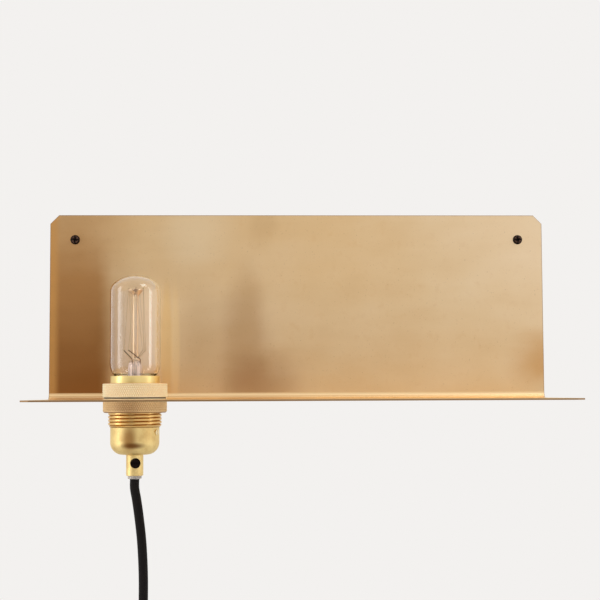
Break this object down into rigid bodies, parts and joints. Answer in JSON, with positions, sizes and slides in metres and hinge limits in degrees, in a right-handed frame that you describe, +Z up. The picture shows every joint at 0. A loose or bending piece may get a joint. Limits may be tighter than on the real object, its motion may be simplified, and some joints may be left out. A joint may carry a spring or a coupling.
{
  "type": "wall lamp with shelf",
  "caption": "Folded brass wall shelf with a threaded lampholder through its shelf, a tubular bulb, and a black textile cord with switch and plug.",
  "frame": {"origin": "midpoint between the two wall screws, on the wall plane at the back face of the plate", "axes": "+X to the right seen from the room, +Y into the wall, +Z up"},
  "size_m": [0.4, 0.1738, 0.5945],
  "materials": {
    "bracket_brass": "satin, warm patina",
    "holder_brass": "bright",
    "aged_brass": "aged",
    "black_screw": "satin",
    "zinc_steel": "satin",
    "porcelain": "glazed",
    "black_plastic": "satin",
    "amber_plastic": "translucent",
    "textile": "woven",
    "brown_core": "matt",
    "blue_core": "matt",
    "green_core": "matt",
    "clear_glass": "clear",
    "stem_glass": "clear",
    "nickel": "satin",
    "black_glass": "gloss",
    "wire": "dull",
    "filament": "dull",
    "tie_fabric": "woven",
    "black_rubber": "matt"
  },
  "bodies": {
    "root": {"shelf_bracket": "bracket_brass", "wall_screws": "black_screw", "holder_skirt": "holder_brass", "holder_cap": "aged_brass", "cap_lock_screw": "holder_brass", "ceramic_insert": "porcelain", "screw_shell": "holder_brass", "shell_screws": "zinc_steel", "shell_nut": "holder_brass", "centre_contact": "holder_brass", "contact_screw": "zinc_steel", "terminal_blocks": "holder_brass", "terminal_screws": "zinc_steel", "earth_tag": "holder_brass", "earth_screw": "zinc_steel", "grip_nut": "holder_brass", "cord_grip": "aged_brass", "grip_screw": "black_plastic", "grip_collar": "amber_plastic", "cord_entry": "textile", "live_core": "brown_core", "neutral_core": "blue_core", "earth_core": "green_core", "cord_drop": "textile", "switch_back_shell": "black_plastic", "switch_front_shell": "black_plastic", "rocker_pin": "zinc_steel", "switch_contacts": "holder_brass", "contact_screws": "zinc_steel", "cord_clamps": "zinc_steel", "clamp_screws": "zinc_steel", "switch_cores": "brown_core", "switch_screws": "zinc_steel", "cord_link": "textile", "cord_coil": "textile", "coil_tie": "tie_fabric", "cord_tail": "textile", "plug_relief": "black_rubber", "plug_body": "black_rubber", "plug_pins": "nickel", "plug_earth_clips": "nickel", "plug_earth_socket": "nickel"},
    "bulb": {"bulb_glass": "clear_glass", "bulb_cap": "nickel", "bulb_insulator": "black_glass", "bulb_contact": "nickel", "bulb_stem": "stem_glass", "bulb_leads": "wire", "bulb_upper_hooks": "wire", "bulb_lower_hooks": "wire", "bulb_filament": "filament"},
    "upper_ring": {"upper_ring": "aged_brass"},
    "lower_ring": {"lower_ring": "aged_brass"},
    "rocker": {"switch_rocker": "black_plastic", "contact_bridge": "holder_brass"}
  },
  "joints": [
    {"name": "bulb_turn", "type": "hinge", "parent": "root", "child": "bulb", "pos_m": [-0.125, -0.07, -0.1288], "axis": [0, 0, 1], "range_deg": [0, 1080]},
    {"name": "upper_ring_turn", "type": "hinge", "parent": "root", "child": "upper_ring", "pos_m": [-0.125, -0.07, -0.1288], "axis": [0, 0, 1], "range_deg": [0, 720]},
    {"name": "lower_ring_turn", "type": "hinge", "parent": "root", "child": "lower_ring", "pos_m": [-0.125, -0.07, -0.13], "axis": [0, 0, 1], "range_deg": [-720, 0]},
    {"name": "rocker_tilt", "type": "hinge", "parent": "root", "child": "rocker", "pos_m": [-0.1182, -0.0765, -0.3179], "axis": [1, 0, 0], "range_deg": [0, 16]}
  ]
}
